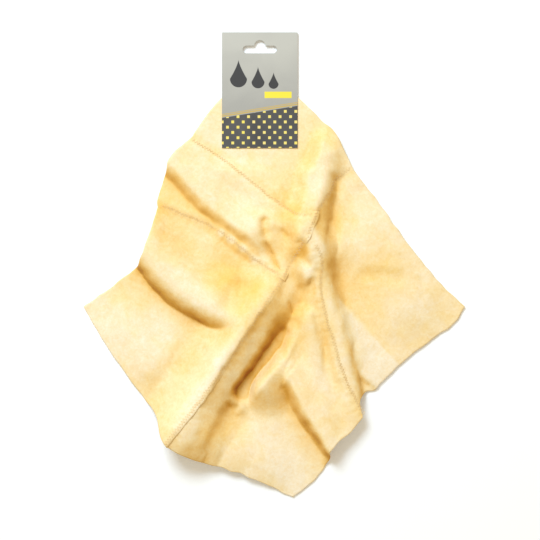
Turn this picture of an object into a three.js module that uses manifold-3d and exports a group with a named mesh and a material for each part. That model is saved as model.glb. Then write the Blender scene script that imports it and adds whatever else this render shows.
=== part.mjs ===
// A stitched chamois leather on its folded header card, lying on a table with its folds.
// Five leather panels are lapped and zigzag stitched, and the top corner is stapled into the card.
// Millimetres, +Z up. The origin is on the table under the middle of the part, and +Y is the card's end.
import * as THREE from "three";
import { mergeVertices } from "three/addons/utils/BufferGeometryUtils.js";
import Module from "manifold-3d";

// Driving dimensions of the leather and its seams
const leatherThickness = 1.2;
const lapWidth = 6; // how far one panel lies over its neighbour
const seamStep = 9.6; // spacing of the lines of the surface across a panel
const lapReach = 10; // how far from a seam the upper panel stays raised
const lapRamp = 14; // the length in which it comes down again
const threadRadius = 0.3;
const threadSlack = 0.5; // between a thread and its leather, which bends from stitch to stitch
const stitchesPerStep = 2;
const stitchInset = 0.35; // share of the lap between a stitch's end and the lap's side
const clearance = 0.3; // between pieces that touch
const tableGap = 0.15; // between the leather and the table where it lies flat

// Driving dimensions of the header card and its staples
const cardWidth = 75.5;
const cardHeight = 115.5;
const cardThickness = 0.5;
const cardGap = 0.1; // between the card, the leather and the staples
const cardCentreX = -14.2;
const cardOverSeam = 5.8; // from the upper seam's bend up to the card's lower edge
const slotWidth = 34;
const slotHeight = 7.5;
const slotBumpRadius = 5.5;
const slotDrop = 17.2; // from the card's top edge to the middle of the slot
const stapleWire = 0.5;
const stapleCrown = 12;
const stapleLegTip = 4.5; // length of each leg that is clinched over
const stapleSpread = 32; // between the middles of the two staples
const stapleRise = 37.5; // from the card's lower edge to the staples
const stapleHole = 0.9;
const cardMargin = 10; // how far round the card its leather stays level

// Heights of the layers at the card, from the table up
const liftOverLap = leatherThickness + clearance;
const threadOffset = leatherThickness / 2 + threadSlack + threadRadius;
const cardBackBottom = stapleWire + cardGap;
const cardBackTop = cardBackBottom + cardThickness;
const leatherAtCard = cardBackTop + cardGap + leatherThickness / 2;
const stapleTipBottom = leatherAtCard + leatherThickness / 2 + cardGap;
const cardFrontBottom = stapleTipBottom + stapleWire + cardGap;

// Heights of the leather's middle surface where it lies flat, away from the seams and along them
const leatherFlat = tableGap + leatherThickness / 2;
const leatherAtSeam = tableGap + threadRadius + threadOffset;

// The corners of the leather, and where its seams end at the edge and meet inside
const topCorner = [-16, 199];
const leftCorner = [-190.3, -42];
const rightCorner = [190.3, -42];
const bottomCorner = [19, -232];
const longSeamTop = [79, 95];
const longSeamBottom = [-107, -178];
const upperSeamEnd = [-81, 128];
const leftSeamEnd = [-115, 58];
const rightSeamEnd = [86, -152];
const upperSeamRoot = [44, 52];
const rightSeamRoot = [34, 26];
const leftSeamRoot = [9, -16];
const upperSeamBend = [-54, 111]; // beside the card's lower left corner

// The card stands just clear of the upper seam
const cardBottomY = upperSeamBend[1] + cardOverSeam;
const cardTopY = cardBottomY + cardHeight;

// Smooth curves through hand-placed points, seen from above
const through = (...points) =>
  new THREE.CatmullRomCurve3(points.map(([x, y]) => new THREE.Vector3(x, y, 0)), false, "centripetal");

const longSeamLower = through(leftSeamRoot, [-19, -55], [-44, -95], [-69, -130], longSeamBottom);
const longSeamMiddle = through(leftSeamRoot, [24, 8], rightSeamRoot);
const longSeamKnot = through(rightSeamRoot, [40, 40], upperSeamRoot);
const longSeamUpper = through(upperSeamRoot, [56, 70], [64, 85], longSeamTop);
const leftSeam = through(leftSeamRoot, [-12, -3], [-34, 15], [-52, 29], [-74, 41], [-94, 49], leftSeamEnd);
const upperSeam = through(upperSeamRoot, [22, 54], [1, 68], [-24, 88], upperSeamBend, upperSeamEnd);
const rightSeam = through(rightSeamRoot, [43, 5], [42, -15], [46, -45], [56, -80], [67, -115], rightSeamEnd);

const topLeftEdge = through(upperSeamEnd, [-69, 147], [-52, 167], topCorner);
const topRightEdge = through(longSeamTop, [72, 110], [61, 132], [46, 146], [23, 168], topCorner);
const upperLeftEdge = through(
  leftSeamEnd, [-116, 64], [-112, 78], [-107, 94], [-103, 107], [-93, 118], upperSeamEnd);
const leftEdge = through(leftCorner, [-157, -18], [-136, -1], [-129, 12], [-121, 35], leftSeamEnd);
const lowerLeftEdge = through(
  longSeamBottom, [-114, -165], [-117, -151], [-139, -120], [-166, -83], leftCorner);
const bottomEdge = through(longSeamBottom, [-92, -187], [-70, -196], [-36, -207], [-5, -220], bottomCorner);
const lowerRightEdge = through(rightSeamEnd, [73, -165], [59, -177], [52, -196], [42, -212], bottomCorner);
const rightEdge = through(
  rightSeamEnd, [84, -134], [97, -121], [126, -99], [158, -74], [180, -58], rightCorner);
const upperRightEdge = through(longSeamTop, [106, 60], [126, 32], [146, 5], [166, -18], rightCorner);

const mix = (a, b, t) => a + (b - a) * t;
const clamp01 = (t) => Math.min(1, Math.max(0, t));
const easeOut = (t) => (1 + Math.cos(Math.PI * clamp01(t))) / 2; // from 1 down to 0
const rampDown = (distance, flat, ramp) => easeOut((distance - flat) / ramp);
const straightFall = (t) => clamp01(1 - t) ** 1.25; // from a crest nearly straight down to the foot
const roundFall = (t) => 1 - clamp01(t) ** 2.3; // level at the crest, steep at the foot

// The folds. A fold follows its crest, falls off over its left and right widths, seen along the crest,
// and leans to the right. A pair of numbers runs from the crest's first point to its last.
// A fade is the share of the crest over which the fold dies away at each end.
const crestSteps = 40;
const foldSoftening = 1.5; // rounding where a fold meets the table
const ridgeJoining = 4; // 1 would add up the ridges where they meet, more keeps the higher one
const pair = (value) => (Array.isArray(value) ? value : [value, value]);
const plainFold = { lean: 0, fade: [0, 0], levelTop: 0, leftFall: easeOut, rightFall: easeOut };
const fold = (height, { left, right = left, ...others }, ...crest) => {
  const { lean, fade, levelTop, leftFall, rightFall } = { ...plainFold, ...others };
  return {
    samples: through(...crest).getSpacedPoints(crestSteps),
    height: pair(height),
    left: pair(left),
    right: pair(right),
    lean: pair(lean),
    fade,
    levelTop, // half the width of a level top
    leftFall,
    rightFall,
  };
};

const ridges = [
  // from the upper left edge to the middle
  fold([11, 6], { left: 38, right: [20, 12], lean: [1, 0], fade: [0, 0.25] },
    [-124, 119], [-96, 93], [-71, 68], [-47, 45], [-28, 34], [-14, 18], [-5, 3]),
  // the roll that hangs over the left corner
  fold([20, 19], { left: 46, right: [16.5, 25], lean: [2, 0], fade: [0, 0.2], rightFall: roundFall },
    [-138, 32], [-122, 9], [-110, -5], [-97, -18], [-84, -29], [-72, -36], [-54, -43], [-34, -45], [-12, -41]),
  // the high ridge under the lower half of the long seam
  fold(23, { left: [44, 46], right: [58, 36], lean: 2, fade: [0, 0.25], rightFall: straightFall },
    [-122, -196], [-89, -153], [-68, -125], [-51, -96], [-37, -77], [-12, -43], [18, 7]),
  // from the middle down along the deep hollow
  fold([9, 17], { left: [30, 56], right: [28, 10], lean: [0, 6], fade: [0.3, 0.2] },
    [40, -26], [31, -52], [20, -72], [8, -90], [-5, -108], [-20, -124], [-33, -137]),
  // the arch where the hollow ends, and the hood that runs on from it over the bottom corner
  fold([9, 14], { left: 44, right: [40, 30], fade: [0.2, 0.3] },
    [-30, -132], [-20, -120], [-9, -112], [3, -108], [14, -111], [22, -121]),
  fold([14, 20], { left: 44, right: [16, 13], lean: [0, 6], fade: [0.12, 0] },
    [3, -108], [14, -111], [22, -121], [33, -140], [72, -195]),
  // the low ridge between the hood and the band
  fold([12, 9], { left: 30, right: [22, 24], fade: [0.15, 0] },
    [43, -28], [39, -50], [38, -70], [39, -90], [42, -105], [46, -120], [50, -136], [56, -154], [66, -184]),
  // the band along the right seam, which runs on through the middle to the upper right edge
  fold([12, 14], { left: [24, 17], right: [13, 30], lean: [2, 0], fade: [0, 0.1], levelTop: 4 },
    [88, -172], [76, -140], [68, -107], [62, -80], [54, -52], [49, -32], [43, -10], [41, 10],
    [33, 30], [33, 50], [38, 72], [41, 92], [46, 112], [58, 141]),
  // the pleat beside the band
  fold([10, 1.5], { left: [12, 46], right: [10, 3], fade: [0.2, 0], leftFall: straightFall },
    [60, -32], [67, -58], [75, -84], [81, -104], [100, -121]),
];
const hollowsAndSwells = [
  // the valley under the upper left ridge
  fold(-4, { left: 16, right: 20, fade: [0, 0.3] }, [-128, 96], [-108, 74], [-90, 54], [-74, 40], [-54, 26]),
  // the deep hollow between the long seam's ridge and the hood
  fold([-9, -17], { left: [20, 10], right: [14, 9], fade: [0.3, 0.1] },
    [19, -47], [6, -65], [-6, -83], [-19, -101], [-29, -117], [-39, -138]),
  // the valley that runs on from it to the bottom edge
  fold([-6, -2], { left: 24, right: 14, fade: [0.2, 0] }, [-38, -138], [-50, -155], [-66, -182]),
  // the slit beside the band
  fold(-2, { left: 9, right: 6, fade: [0.3, 0.3] }, [22, 20], [29, 9], [36, -10], [33, -32]),
  // the valley between the roll and the long seam's ridge
  fold(-5.5, { left: 18, fade: [0.3, 0.3] }, [-28, -8], [-45, -23], [-58, -36]),
  // the valley on the right of the band
  fold([-3, -1.5], { left: 8, right: 14, fade: [0.1, 0.3] },
    [60, 96], [62, 72], [61, 48], [61, 28], [59, 8], [57, -12], [58, -32]),
  // the gathered middle
  fold(9, { left: 52 }, [-4, 38], [36, 20]),
  // the raised bottom edge
  fold([12, 7], { left: 46 }, [-84, -176], [-46, -192]),
  // the slow swells of the right, left and top panels
  fold(5, { left: 56, right: 50 }, [92, 20], [130, -34]),
  fold(4, { left: 46, right: 42 }, [-146, -62], [-120, -92]),
  fold(3, { left: 38 }, [-46, 98], [-26, 84]),
];

// The nearest place on a sampled curve: distance, side (right is positive) and share of the length
function nearestOn(samples, x, y) {
  let best = { distance: Infinity };
  for (let i = 0; i + 1 < samples.length; i++) {
    const a = samples[i];
    const dx = samples[i + 1].x - a.x;
    const dy = samples[i + 1].y - a.y;
    const t = clamp01(((x - a.x) * dx + (y - a.y) * dy) / (dx * dx + dy * dy));
    const ox = x - a.x - t * dx;
    const oy = y - a.y - t * dy;
    const distance = Math.hypot(ox, oy);
    if (distance < best.distance) {
      const length = Math.hypot(dx, dy);
      const side = Math.sign(ox * dy - oy * dx) || 1;
      const share = (i + t) / (samples.length - 1);
      best = { distance, side, share, rightX: dy / length, rightY: -dx / length };
    }
  }
  return best;
}

const longSeam = [longSeamLower, longSeamMiddle, longSeamKnot, longSeamUpper];
const allSeams = [...longSeam, leftSeam, upperSeam, rightSeam];
const seamSamples = allSeams.map((seam) => seam.getSpacedPoints(crestSteps));

// How far a point lies outside the card's outline
const fromCard = (x, y) =>
  Math.hypot(Math.max(0, Math.abs(x - cardCentreX) - cardWidth / 2), Math.max(0, cardBottomY - y));

// The height of the flat leather: on the table, over the threads at a seam, or inside the card
function restingHeight(x, y) {
  const seamDistance = Math.min(...seamSamples.map((samples) => nearestOn(samples, x, y).distance));
  const atSeam = (leatherAtSeam - leatherFlat) * rampDown(seamDistance, lapReach, lapRamp);
  const atCard = (leatherAtCard - leatherFlat) * rampDown(fromCard(x, y), cardMargin, lapRamp);
  return leatherFlat + Math.max(atSeam, atCard);
}

// How far a fold raises the leather over the flat point x, y. Its lean moves the point sideways.
function foldRise(fold, x, y, point) {
  const near = nearestOn(fold.samples, x, y);
  const [widths, fall] = near.side > 0 ? [fold.right, fold.rightFall] : [fold.left, fold.leftFall];
  const width = mix(...widths, near.share);
  const fadeIn = fold.fade[0] ? 1 - easeOut(near.share / fold.fade[0]) : 1;
  const fadeOut = fold.fade[1] ? 1 - easeOut((1 - near.share) / fold.fade[1]) : 1;
  const strength = fall((near.distance - fold.levelTop) / width) * fadeIn * fadeOut;
  const lean = mix(...fold.lean, near.share) * strength;
  point.x += near.rightX * lean;
  point.y += near.rightY * lean;
  return mix(...fold.height, near.share) * strength;
}

// The leather's middle surface above the flat point x, y
function surface(x, y) {
  const point = new THREE.Vector3(x, y, 0);
  let ridgesJoined = 0;
  for (const ridge of ridges) ridgesJoined += foldRise(ridge, x, y, point) ** ridgeJoining;
  let rise = ridgesJoined ** (1 / ridgeJoining);
  for (const fold of hollowsAndSwells) rise += foldRise(fold, x, y, point);
  const away = clamp01((fromCard(x, y) - cardMargin) / lapRamp); // the card keeps its leather flat
  const gentle = Math.max(0, rise) ** 2 / (4 * foldSoftening);
  point.z = restingHeight(x, y) + away * (rise > 2 * foldSoftening ? rise - foldSoftening : gentle);
  return point;
}

const normalReach = 1.5;
function surfaceNormal(x, y) {
  const alongX = surface(x + normalReach, y).sub(surface(x - normalReach, y));
  const alongY = surface(x, y + normalReach).sub(surface(x, y - normalReach));
  return alongX.cross(alongY).normalize();
}

// Shares of a length in steps of about seamStep, with a first and last step of their own if they are given
function stepsAlong(length, first = 0, last = 0) {
  const middle = length - first - last;
  const count = Math.max(2, Math.round(middle / seamStep));
  const places = first ? [0] : [];
  for (let i = 0; i <= count; i++) places.push(Math.min(1, (first + (middle * i) / count) / length));
  if (last) places.push(1);
  return places;
}

const onCurve = (curve, shares) => shares.map((share) => curve.getPointAt(share));
const joined = (...runs) => runs.flatMap((run, i) => (i ? run.slice(1) : run));
const reversed = (points) => [...points].reverse();
const sharesOf = (points) => {
  const lengths = [0];
  points.slice(1).forEach((p, i) => lengths.push(lengths[i] + p.distanceTo(points[i])));
  return lengths.map((length) => length / lengths.at(-1));
};

// A grid between four edges (a Coons patch): rows run from near to far, columns along near
function patch(near, farCurve, startCurve, endCurve, rowShares) {
  const shares = sharesOf(near);
  const far = onCurve(farCurve, shares);
  const start = onCurve(startCurve, rowShares);
  const end = onCurve(endCurve, rowShares);
  return rowShares.map((v, j) =>
    shares.map((u, i) => {
      const ruled = near[i].clone().lerp(far[i], v).add(start[j].clone().lerp(end[j], u));
      const corners = near[0].clone().lerp(near.at(-1), u).lerp(far[0].clone().lerp(far.at(-1), u), v);
      return ruled.sub(corners);
    }),
  );
}

// Lines along the long seam, with a narrow first column beside each seam that ends on it
const lowerRun = onCurve(longSeamLower, stepsAlong(longSeamLower.getLength()));
const middleRun = onCurve(longSeamMiddle, stepsAlong(longSeamMiddle.getLength(), lapWidth));
const knotRun = onCurve(longSeamKnot, stepsAlong(longSeamKnot.getLength(), lapWidth, lapWidth));
const upperRun = onCurve(longSeamUpper, stepsAlong(longSeamUpper.getLength()));
const leftRows = stepsAlong(leftSeam.getLength(), lapWidth);
const rightRows = stepsAlong(rightSeam.getLength());

// The five panels as grids of flat points, each starting from the long seam
const leftGrid = patch(reversed(lowerRun), leftEdge, lowerLeftEdge, leftSeam, leftRows);
const upperLeftGrid = patch(joined(middleRun, knotRun), upperLeftEdge, leftSeam, upperSeam, leftRows);
const topGrid = patch(upperRun, topLeftEdge, upperSeam, topRightEdge, leftRows);
const bottomGrid = patch(
  joined(reversed(middleRun), lowerRun), lowerRightEdge, rightSeam, bottomEdge, rightRows);
const rightGrid = patch(joined(knotRun, upperRun), rightEdge, rightSeam, upperRightEdge, rightRows);

const raiseBeside = (curve) => {
  const samples = curve.getSpacedPoints(crestSteps);
  return (p) => liftOverLap * rampDown(nearestOn(samples, p.x, p.y).distance, lapReach, lapRamp);
};
const besideLongParts = longSeam.map(raiseBeside);
const besideLongSeam = (p) => Math.max(...besideLongParts.map((raise) => raise(p)));
const besideLeftSeam = raiseBeside(leftSeam);
const besideUpperSeam = raiseBeside(upperSeam);
const besideRightSeam = raiseBeside(rightSeam);

// A grid of flat points with its place in space, its normals and how far it is raised over its neighbours
function placed(grid, raise) {
  return grid.map((row) =>
    row.map((p) => ({
      point: surface(p.x, p.y),
      normal: surfaceNormal(p.x, p.y),
      raise: raise(p),
    })),
  );
}
const offsetPoint = ({ point, normal, raise }, offset) =>
  point.clone().addScaledVector(normal, raise + offset);

// Each panel reaches under the next one by the narrow row or column of its neighbour
const column = (grid, i) => grid.map((row) => row.at(i));
const addColumn = (grid, points, atStart) =>
  grid.map((row, j) => (atStart ? [points[j], ...row] : [...row, points[j]]));
const underMiddle = upperLeftGrid[1].slice(0, middleRun.length);
const underKnot = upperLeftGrid[1].slice(middleRun.length - 1);

const leftPanel = placed(addColumn(leftGrid, column(upperLeftGrid, 1), false), besideLongSeam);
const upperLeftPanel = placed(
  upperLeftGrid, (p) => besideLongSeam(p) + besideLeftSeam(p) + besideUpperSeam(p) + besideRightSeam(p));
const topPanel = placed(addColumn(topGrid, column(upperLeftGrid, -2), true), besideLongSeam);
const bottomWithLap = [
  [underKnot[1], ...reversed(underMiddle), ...reversed(leftGrid[1]).slice(1)],
  ...addColumn(bottomGrid, column(rightGrid, 1), true),
];
const bottomPanel = placed(bottomWithLap, () => 0);
const rightPanel = placed([joined(underKnot, topGrid[1]), ...rightGrid], besideRightSeam);

// A closed geometry from its points and triangles, turned so that its faces point out
function closedGeometry(points, triangles) {
  let volume = 0;
  for (const [a, b, c] of triangles) volume += points[a].dot(points[b].clone().cross(points[c]));
  const geometry = new THREE.BufferGeometry().setFromPoints(points);
  geometry.setIndex(triangles.flatMap(([a, b, c]) => (volume < 0 ? [a, c, b] : [a, b, c])));
  geometry.computeVertexNormals();
  return geometry;
}

// A leather panel: the grid's upper and lower faces and the cut edge round them
function panelGeometry(grid) {
  const rows = grid.length;
  const columns = grid[0].length;
  const places = grid.flat();
  const upper = places.map((place) => offsetPoint(place, leatherThickness / 2));
  const lower = places.map((place) => offsetPoint(place, -leatherThickness / 2));
  const at = (j, i) => j * columns + i;
  const below = rows * columns;
  const triangles = [];
  for (let j = 0; j + 1 < rows; j++)
    for (let i = 0; i + 1 < columns; i++) {
      // the shorter diagonal, so that panels that share a lap are split alike there
      const [a, b, c, d] = [at(j, i), at(j, i + 1), at(j + 1, i + 1), at(j + 1, i)];
      const span = (from, to) => places[from].point.distanceTo(places[to].point);
      const halves = span(a, c) < span(b, d) ? [[a, b, c], [a, c, d]] : [[a, b, d], [b, c, d]];
      for (const [p, q, r] of halves) triangles.push([p, q, r], [below + p, below + r, below + q]);
    }
  const rim = [];
  for (let i = 0; i + 1 < columns; i++) rim.push(at(0, i));
  for (let j = 0; j + 1 < rows; j++) rim.push(at(j, columns - 1));
  for (let i = columns - 1; i > 0; i--) rim.push(at(rows - 1, i));
  for (let j = rows - 1; j > 0; j--) rim.push(at(j, 0));
  rim.forEach((a, k) => {
    const b = rim[(k + 1) % rim.length];
    triangles.push([b, a, below + a], [b, below + a, below + b]);
  });
  return closedGeometry([...upper, ...lower], triangles);
}

// A lap's cell between two pairs of places, and which of its diagonals the panel is split along
const cellOf = (strip, i) => [strip[i][0], strip[i + 1][0], strip[i + 1][1], strip[i][1]];
const splitFromFirst = ([a, b, c, d]) => a.point.distanceTo(c.point) < b.point.distanceTo(d.point);

// The place a share along and across a cell, on the two flat halves that the panel has there
function onCell(cell, along, across, offset) {
  const [a, b, c, d] = cell.map((place) => offsetPoint(place, offset));
  const step = (from, to, share) => to.clone().sub(from).multiplyScalar(share);
  if (!splitFromFirst(cell))
    return along + across < 1
      ? a.clone().add(step(a, b, along)).add(step(a, d, across))
      : c.clone().add(step(c, d, 1 - along)).add(step(c, b, 1 - across));
  return across < along
    ? a.clone().add(step(a, b, along)).add(step(b, c, across))
    : a.clone().add(step(a, d, across)).add(step(d, c, along));
}

// How far a cell's far side is shifted along the seam, as a share of the cell's length
function skewOf([a, b, , d]) {
  const seam = b.point.clone().sub(a.point);
  return d.point.clone().sub(a.point).dot(seam) / seam.lengthSq();
}

const leastBendShare = 0.2; // a bend nearer than this to the last one or to a stitch's end is left out

// Where a stitch crosses the lines that the panel bends at: between its cells and across each of them
function bendShares(cells, from, to) {
  const shares = [];
  const addCrossing = (beyond, inCell) => {
    const [start, end] = [beyond(...from), beyond(...to)];
    const share = start / (start - end);
    if (start * end < 0 && inCell(mix(from[0], to[0], share))) shares.push(share);
  };
  const last = Math.min(cells.length - 1, Math.floor(Math.max(from[0], to[0])));
  for (let i = Math.floor(Math.min(from[0], to[0])); i <= last; i++) {
    addCrossing((along) => along - i, () => true);
    const across = splitFromFirst(cells[i])
      ? (along, side) => side - (along - i)
      : (along, side) => along - i + side - 1;
    addCrossing(across, (along) => along > i && along < i + 1);
  }
  shares.sort((a, b) => a - b);
  let previous = 0;
  return shares.filter((share) => {
    const roomy = share - previous > leastBendShare && 1 - share > leastBendShare;
    if (roomy) previous = share;
    return roomy;
  });
}

// A zigzag thread on a lap: strip holds pairs of places, at the lap's edge and inside it
function threadGeometry(strip, offset) {
  const cells = strip.slice(1).map((pair, i) => cellOf(strip, i));
  const places = [];
  const place = (along, side) => {
    const i = Math.min(cells.length - 1, Math.floor(along));
    const normal = cells[i][0].normal.clone().lerp(cells[i][1].normal, along - i).normalize();
    places.push({ point: onCell(cells[i], along - i, side, offset), normal });
  };
  // the stitches stand square to the seam, whatever the slant of the cells
  const ends = [];
  const halfStitches = 2 * stitchesPerStep;
  for (let k = 0; k <= cells.length * halfStitches; k++) {
    const side = k % 2 ? 1 - stitchInset : stitchInset;
    const cell = cells[Math.min(cells.length - 1, Math.floor(k / halfStitches))];
    const along = k / halfStitches - (side - 0.5) * skewOf(cell);
    ends.push([Math.min(cells.length, Math.max(0, along)), side]);
  }
  ends.forEach((from, k) => {
    place(...from);
    const to = ends[k + 1];
    if (!to) return;
    for (const share of bendShares(cells, from, to))
      place(mix(from[0], to[0], share), mix(from[1], to[1], share));
  });
  return tubeGeometry(places);
}

// A closed tube of three-sided section through places, with a corner towards each place's normal
function tubeGeometry(places) {
  const points = [];
  const triangles = [];
  const sides = 3;
  places.forEach(({ point, normal }, i) => {
    const before = places[Math.max(0, i - 1)].point;
    const after = places[Math.min(places.length - 1, i + 1)].point;
    const forward = point.clone().sub(before).normalize().add(after.clone().sub(point).normalize());
    const sideways = forward.cross(normal).normalize();
    for (let k = 0; k < sides; k++) {
      const angle = (2 * Math.PI * k) / sides;
      points.push(
        point.clone()
          .addScaledVector(normal, threadRadius * Math.cos(angle))
          .addScaledVector(sideways, threadRadius * Math.sin(angle)),
      );
    }
    if (!i) return;
    for (let k = 0; k < sides; k++) {
      const [a, b] = [sides * (i - 1) + k, sides * (i - 1) + ((k + 1) % sides)];
      triangles.push([a, b, b + sides], [a, b + sides, a + sides]);
    }
  });
  const last = points.length - sides;
  triangles.push([0, 2, 1], [last, last + 1, last + 2]);
  return closedGeometry(points, triangles);
}

// The laps that the threads follow, seen from above on the upper panel and from below on the lower one
const rowPairs = (panel, from, to) => panel[0].map((place, i) => [place, panel[1][i]]).slice(from, to);
const columnPairs = (panel, edge, inner, from) =>
  panel.slice(from).map((row) => [row.at(edge), row.at(inner)]);
const firstStitchRow = 2; // clear of the long seam's own lap
const lowerColumns = leftGrid[0].length - 1;

// at a crossing the thread stays on the panel that is outermost there
const longLapAbove = [
  ...rowPairs(leftPanel, 0, lowerColumns),
  ...rowPairs(upperLeftPanel, 0, upperLeftGrid[0].length),
  ...rowPairs(topPanel, 2, topPanel[0].length),
];
const longLapBelow = [
  ...rowPairs(bottomPanel, 0, bottomPanel[0].length).reverse(),
  ...rowPairs(rightPanel, 2, rightPanel[0].length),
].map(([inner, edge]) => [edge, inner]);
const leftLapAbove = columnPairs(upperLeftPanel, 0, 1, firstStitchRow);
const leftLapBelow = columnPairs(leftPanel, -2, -1, firstStitchRow);
const upperLapAbove = columnPairs(upperLeftPanel, -1, -2, firstStitchRow);
const upperLapBelow = columnPairs(topPanel, 1, 0, firstStitchRow);
const rightLapAbove = columnPairs(rightPanel, 0, 1, firstStitchRow);
const rightLapBelow = columnPairs(bottomPanel, 1, 0, firstStitchRow);

// Joins and cuts of closed geometries
const wasm = await Module();
wasm.setup();
function solid(geometry) {
  const bare = geometry.clone();
  for (const name of Object.keys(bare.attributes)) if (name !== "position") bare.deleteAttribute(name);
  const merged = mergeVertices(bare);
  return new wasm.Manifold(
    new wasm.Mesh({
      numProp: 3,
      vertProperties: merged.attributes.position.array,
      triVerts: new Uint32Array(merged.index.array),
    }),
  );
}
function geometryOf(made) {
  const mesh = made.getMesh();
  const geometry = new THREE.BufferGeometry();
  geometry.setAttribute("position", new THREE.BufferAttribute(mesh.vertProperties, 3));
  geometry.setIndex(new THREE.BufferAttribute(mesh.triVerts, 1));
  geometry.computeVertexNormals();
  return geometry;
}
const block = (width, depth, height, x, y, z) =>
  new THREE.BoxGeometry(width, depth, height).translate(x, y, z);

// The hanging slot: a long slot with round ends and a round bump over its middle
function slotPath() {
  const path = new THREE.Path();
  const endRadius = slotHeight / 2;
  const reach = slotWidth / 2 - endRadius;
  const y = -slotDrop;
  path.absarc(reach, y, endRadius, -Math.PI / 2, Math.PI / 2, false);
  path.absarc(0, y + endRadius, slotBumpRadius, 0, Math.PI, false);
  path.absarc(-reach, y, endRadius, Math.PI / 2, (3 * Math.PI) / 2, false);
  path.closePath();
  return path;
}

// One leaf of the card, its top edge on y = 0
function leafGeometry(bottom, length) {
  const outline = new THREE.Shape();
  outline.moveTo(-cardWidth / 2, -length);
  outline.lineTo(cardWidth / 2, -length);
  outline.lineTo(cardWidth / 2, 0);
  outline.lineTo(-cardWidth / 2, 0);
  outline.closePath();
  outline.holes.push(slotPath());
  const options = { depth: cardThickness, bevelEnabled: false, curveSegments: 8 };
  return new THREE.ExtrudeGeometry(outline, options).translate(cardCentreX, cardTopY, bottom);
}

// Where the staples' legs go through
const stapleY = cardBottomY + stapleRise;
const stapleCentres = [-1, 1].map((side) => cardCentreX + (side * stapleSpread) / 2);
function legHoles(made) {
  const tall = 4 * cardFrontBottom;
  let cut = made;
  for (const x of stapleCentres)
    for (const side of [-1, 1]) {
      const legX = x + (side * (stapleCrown - stapleWire)) / 2;
      cut = cut.subtract(solid(block(stapleHole, stapleHole, tall, legX, stapleY, 0)));
    }
  return cut;
}

// The back leaf with the spine that carries the front leaf
function backLeafGeometry() {
  const spineTop = cardFrontBottom - clearance;
  const spineHeight = spineTop - cardBackBottom;
  const spine = block(
    cardWidth, cardThickness, spineHeight,
    cardCentreX, cardTopY - cardThickness / 2, cardBackBottom + spineHeight / 2);
  const leaf = solid(leafGeometry(cardBackBottom, cardHeight));
  return geometryOf(legHoles(leaf.add(solid(spine))));
}

// A staple: its crown under the back leaf, and its legs clinched over the leather
function stapleGeometry() {
  const half = stapleCrown / 2;
  const top = stapleTipBottom + stapleWire;
  const outline = new THREE.Shape();
  outline.moveTo(-half, 0);
  outline.lineTo(half, 0);
  outline.lineTo(half, top);
  outline.lineTo(half - stapleLegTip, top);
  outline.lineTo(half - stapleLegTip, stapleTipBottom);
  outline.lineTo(half - stapleWire, stapleTipBottom);
  outline.lineTo(half - stapleWire, stapleWire);
  outline.lineTo(stapleWire - half, stapleWire);
  outline.lineTo(stapleWire - half, stapleTipBottom);
  outline.lineTo(stapleLegTip - half, stapleTipBottom);
  outline.lineTo(stapleLegTip - half, top);
  outline.lineTo(-half, top);
  outline.closePath();
  const options = { depth: stapleWire, bevelEnabled: false };
  return new THREE.ExtrudeGeometry(outline, options).translate(0, 0, -stapleWire / 2).rotateX(Math.PI / 2);
}

// Materials
const chamois = new THREE.MeshStandardMaterial({ color: 0xf2d795, roughness: 0.92, metalness: 0 });
const sewingThread = new THREE.MeshStandardMaterial({ color: 0xe9d3a0, roughness: 0.8, metalness: 0 });
const printedBoard = new THREE.MeshStandardMaterial({ color: 0xb9bab2, roughness: 0.45, metalness: 0 });
const plainBoard = new THREE.MeshStandardMaterial({ color: 0xdcdad2, roughness: 0.8, metalness: 0 });
const stapleSteel = new THREE.MeshStandardMaterial({ color: 0xb8babd, roughness: 0.3, metalness: 1 });

// The scene graph
const part = new THREE.Group();
part.name = "stitched_leather_on_card";
function add(parent, name, geometry, material) {
  const mesh = new THREE.Mesh(geometry, material);
  mesh.name = name;
  parent.add(mesh);
  return mesh;
}

const leather = new THREE.Group();
const threads = new THREE.Group();
const card = new THREE.Group();
part.add(leather, threads, card);

add(leather, "top_panel", geometryOf(legHoles(solid(panelGeometry(topPanel)))), chamois);
add(leather, "upper_left_panel", panelGeometry(upperLeftPanel), chamois);
add(leather, "left_panel", panelGeometry(leftPanel), chamois);
add(leather, "bottom_panel", panelGeometry(bottomPanel), chamois);
add(leather, "right_panel", panelGeometry(rightPanel), chamois);

const laps = {
  long_seam: [longLapAbove, longLapBelow],
  left_seam: [leftLapAbove, leftLapBelow],
  upper_seam: [upperLapAbove, upperLapBelow],
  right_seam: [rightLapAbove, rightLapBelow],
};
for (const [name, [above, below]] of Object.entries(laps)) {
  add(threads, name + "_needle_thread", threadGeometry(above, threadOffset), sewingThread);
  add(threads, name + "_bobbin_thread", threadGeometry(below, -threadOffset), sewingThread);
}

add(card, "card_back_leaf", backLeafGeometry(), plainBoard);
add(card, "card_front_leaf", leafGeometry(cardFrontBottom, cardHeight), printedBoard);
["left_staple", "right_staple"].forEach((name, i) => {
  add(card, name, stapleGeometry(), stapleSteel).position.set(stapleCentres[i], stapleY, 0);
});

export default part;
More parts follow.
